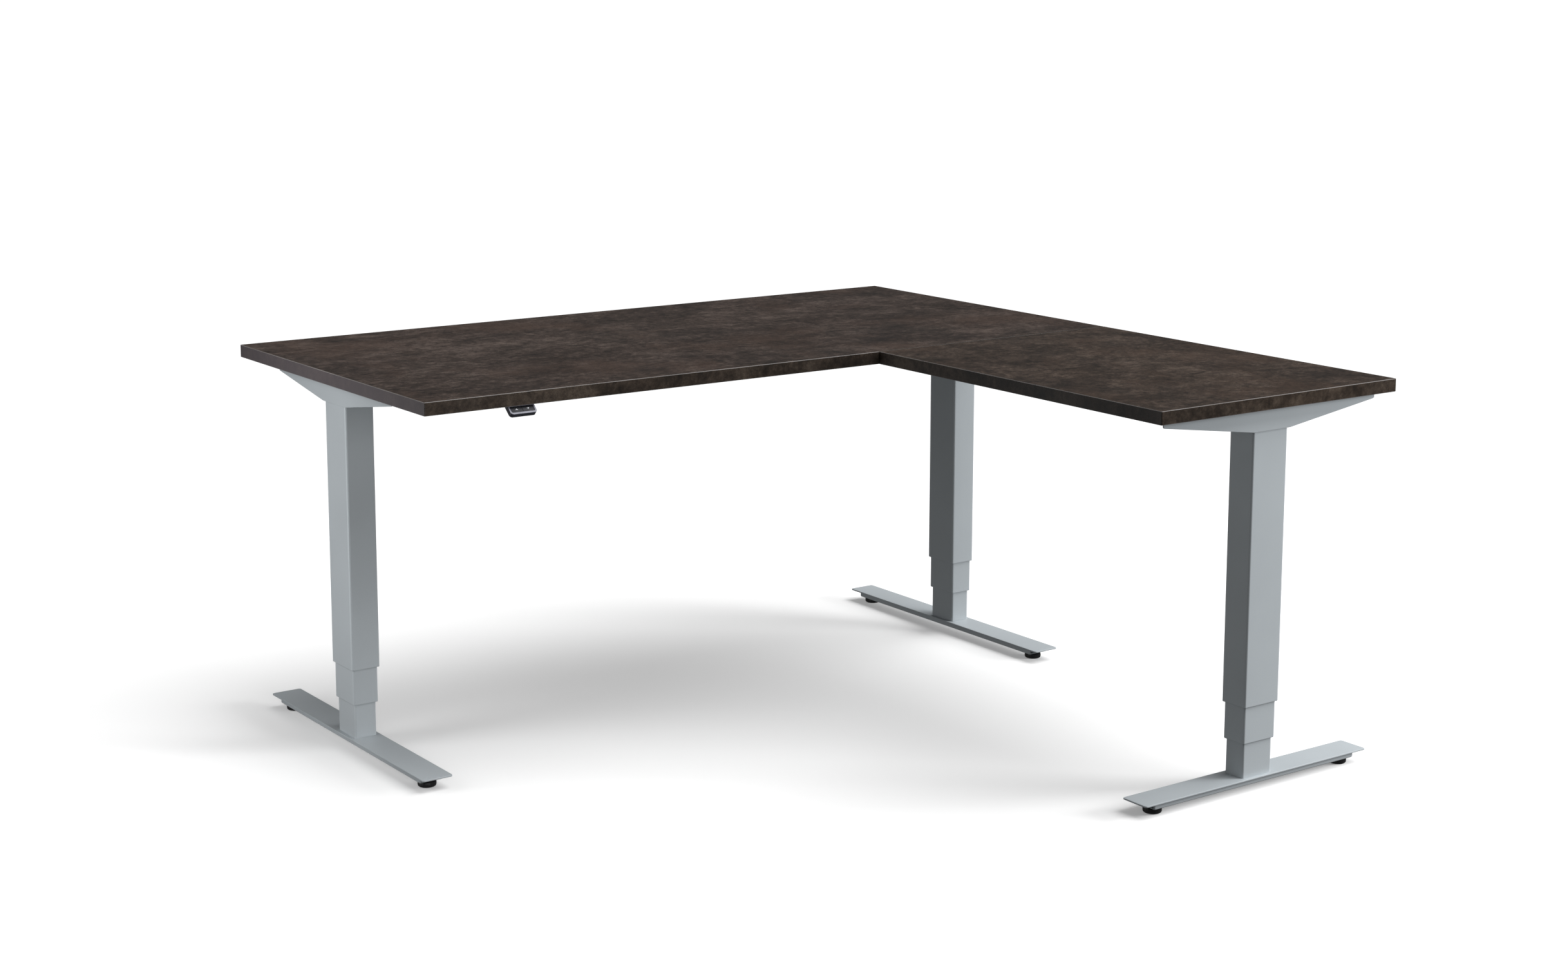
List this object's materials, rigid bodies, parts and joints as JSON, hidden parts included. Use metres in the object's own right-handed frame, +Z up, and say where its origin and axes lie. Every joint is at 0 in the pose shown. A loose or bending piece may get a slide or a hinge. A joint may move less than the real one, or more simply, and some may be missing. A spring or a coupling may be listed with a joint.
{
  "type": "height adjustable corner desk",
  "caption": "Electric height adjustable L-shaped desk: two laminate tops on three-stage columns with flat feet, tapered brackets and a small handset.",
  "frame": {"origin": "on the floor, under the middle of the bounding box", "axes": "+X to the right along the main top, +Y to the back, +Z up"},
  "size_m": [1.6, 1.6, 0.747],
  "materials": {
    "laminate": "matt laminate over particle board",
    "edging": "matt edge band in the colour of the tops",
    "frame_coat": "satin silver-grey powder coat",
    "rail_coat": "satin silver-grey powder coat",
    "collar_plastic": "matt dark plastic",
    "gearbox_housing": "cast",
    "motor_can": "satin black",
    "spindle_steel": "oiled bright steel",
    "nut_plastic": "natural acetal",
    "zinc_steel": "zinc plated",
    "glide_plastic": "matt black",
    "box_plastic": "fine textured black",
    "inlet_plastic": "black",
    "circuit_board": "green laminate with dark blocks",
    "handset_plastic": "matt dark grey",
    "bezel_plastic": "matt mid grey",
    "button_rubber": "matt dark grey"
  },
  "bodies": {
    "feet": {"inner_tube_collars": "collar_plastic", "inner_tube_nuts": "nut_plastic", "glide_nuts": "zinc_steel", "left_inner_tube": "frame_coat", "left_foot_plate": "frame_coat", "left_foot_channel": "frame_coat", "back_inner_tube": "frame_coat", "back_foot_plate": "frame_coat", "back_foot_channel": "frame_coat", "right_inner_tube": "frame_coat", "right_foot_plate": "frame_coat", "right_foot_channel": "frame_coat"},
    "desk": {"main_top": "laminate", "return_top": "laminate", "top_edging": "edging", "joining_plates": "zinc_steel", "wood_screws": "zinc_steel", "rail_sleeves": "rail_coat", "rail_arms": "rail_coat", "control_box_case": "box_plastic", "mains_inlet": "inlet_plastic", "control_board": "circuit_board", "handset_body": "handset_plastic", "handset_bezel": "bezel_plastic", "outer_tube_collars": "collar_plastic", "left_outer_tube": "frame_coat", "left_gearbox": "gearbox_housing", "left_motor": "motor_can", "left_bracket": "frame_coat", "back_outer_tube": "frame_coat", "back_gearbox": "gearbox_housing", "back_motor": "motor_can", "back_bracket": "frame_coat", "right_outer_tube": "frame_coat", "right_gearbox": "gearbox_housing", "right_motor": "motor_can", "right_bracket": "frame_coat"},
    "left_middle": {"left_middle_tube": "frame_coat", "left_middle_collars": "collar_plastic", "left_middle_nut": "nut_plastic"},
    "left_upper_spindle": {"left_upper_spindle": "spindle_steel"},
    "left_lower_spindle": {"left_lower_spindle": "spindle_steel"},
    "back_middle": {"back_middle_tube": "frame_coat", "back_middle_collars": "collar_plastic", "back_middle_nut": "nut_plastic"},
    "back_upper_spindle": {"back_upper_spindle": "spindle_steel"},
    "back_lower_spindle": {"back_lower_spindle": "spindle_steel"},
    "right_middle": {"right_middle_tube": "frame_coat", "right_middle_collars": "collar_plastic", "right_middle_nut": "nut_plastic"},
    "right_upper_spindle": {"right_upper_spindle": "spindle_steel"},
    "right_lower_spindle": {"right_lower_spindle": "spindle_steel"},
    "left_leg_front_glide": {"left_leg_front_glide": "glide_plastic"},
    "left_leg_rear_glide": {"left_leg_rear_glide": "glide_plastic"},
    "back_leg_front_glide": {"back_leg_front_glide": "glide_plastic"},
    "back_leg_rear_glide": {"back_leg_rear_glide": "glide_plastic"},
    "right_leg_inner_glide": {"right_leg_inner_glide": "glide_plastic"},
    "right_leg_outer_glide": {"right_leg_outer_glide": "glide_plastic"},
    "up_button": {"up_button": "button_rubber"},
    "down_button": {"down_button": "button_rubber"}
  },
  "joints": [
    {"name": "lift", "type": "slide", "parent": "feet", "child": "desk", "axis": [0, 0, 1], "range_m": [-0.1, 0.55]},
    {"name": "left_middle_slide", "type": "slide", "parent": "feet", "child": "left_middle", "axis": [0, 0, 1], "range_m": [-0.05, 0.275]},
    {"name": "left_upper_spindle_turn", "type": "hinge", "parent": "desk", "child": "left_upper_spindle", "pos_m": [-0.74, 0.43, 0.4], "axis": [0, 0, 1], "range_deg": [-1501, 8251]},
    {"name": "left_lower_spindle_turn", "type": "hinge", "parent": "left_middle", "child": "left_lower_spindle", "pos_m": [-0.74, 0.43, 0.4], "axis": [0, 0, 1], "range_deg": [-1501, 8251]},
    {"name": "back_middle_slide", "type": "slide", "parent": "feet", "child": "back_middle", "axis": [0, 0, 1], "range_m": [-0.05, 0.275]},
    {"name": "back_upper_spindle_turn", "type": "hinge", "parent": "desk", "child": "back_upper_spindle", "pos_m": [0.74, 0.43, 0.4], "axis": [0, 0, 1], "range_deg": [-1501, 8251]},
    {"name": "back_lower_spindle_turn", "type": "hinge", "parent": "back_middle", "child": "back_lower_spindle", "pos_m": [0.74, 0.43, 0.4], "axis": [0, 0, 1], "range_deg": [-1501, 8251]},
    {"name": "right_middle_slide", "type": "slide", "parent": "feet", "child": "right_middle", "axis": [0, 0, 1], "range_m": [-0.05, 0.275]},
    {"name": "right_upper_spindle_turn", "type": "hinge", "parent": "desk", "child": "right_upper_spindle", "pos_m": [0.5, -0.742, 0.4], "axis": [0, 0, 1], "range_deg": [-1501, 8251]},
    {"name": "right_lower_spindle_turn", "type": "hinge", "parent": "right_middle", "child": "right_lower_spindle", "pos_m": [0.5, -0.742, 0.4], "axis": [0, 0, 1], "range_deg": [-1501, 8251]},
    {"name": "left_leg_front_glide_screw", "type": "slide", "parent": "feet", "child": "left_leg_front_glide", "axis": [0, 0, -1], "range_m": [0, 0.005]},
    {"name": "left_leg_rear_glide_screw", "type": "slide", "parent": "feet", "child": "left_leg_rear_glide", "axis": [0, 0, -1], "range_m": [0, 0.005]},
    {"name": "back_leg_front_glide_screw", "type": "slide", "parent": "feet", "child": "back_leg_front_glide", "axis": [0, 0, -1], "range_m": [0, 0.005]},
    {"name": "back_leg_rear_glide_screw", "type": "slide", "parent": "feet", "child": "back_leg_rear_glide", "axis": [0, 0, -1], "range_m": [0, 0.005]},
    {"name": "right_leg_inner_glide_screw", "type": "slide", "parent": "feet", "child": "right_leg_inner_glide", "axis": [0, 0, -1], "range_m": [0, 0.005]},
    {"name": "right_leg_outer_glide_screw", "type": "slide", "parent": "feet", "child": "right_leg_outer_glide", "axis": [0, 0, -1], "range_m": [0, 0.005]},
    {"name": "up_press", "type": "slide", "parent": "desk", "child": "up_button", "axis": [0, 0.6559, -0.7549], "range_m": [0, 0.001], "stiffness_N_per_m": 600, "springref_m": -0.001},
    {"name": "down_press", "type": "slide", "parent": "desk", "child": "down_button", "axis": [0, 0.6559, -0.7549], "range_m": [0, 0.001], "stiffness_N_per_m": 600, "springref_m": -0.001}
  ],
  "couplings": [
    {"joint": "left_middle_slide", "follows": "lift", "ratio": 0.5},
    {"joint": "left_upper_spindle_turn", "follows": "lift", "rad_per_m": 261.8},
    {"joint": "left_lower_spindle_turn", "follows": "lift", "rad_per_m": 261.8},
    {"joint": "back_middle_slide", "follows": "lift", "ratio": 0.5},
    {"joint": "back_upper_spindle_turn", "follows": "lift", "rad_per_m": 261.8},
    {"joint": "back_lower_spindle_turn", "follows": "lift", "rad_per_m": 261.8},
    {"joint": "right_middle_slide", "follows": "lift", "ratio": 0.5},
    {"joint": "right_upper_spindle_turn", "follows": "lift", "rad_per_m": 261.8},
    {"joint": "right_lower_spindle_turn", "follows": "lift", "rad_per_m": 261.8}
  ]
}
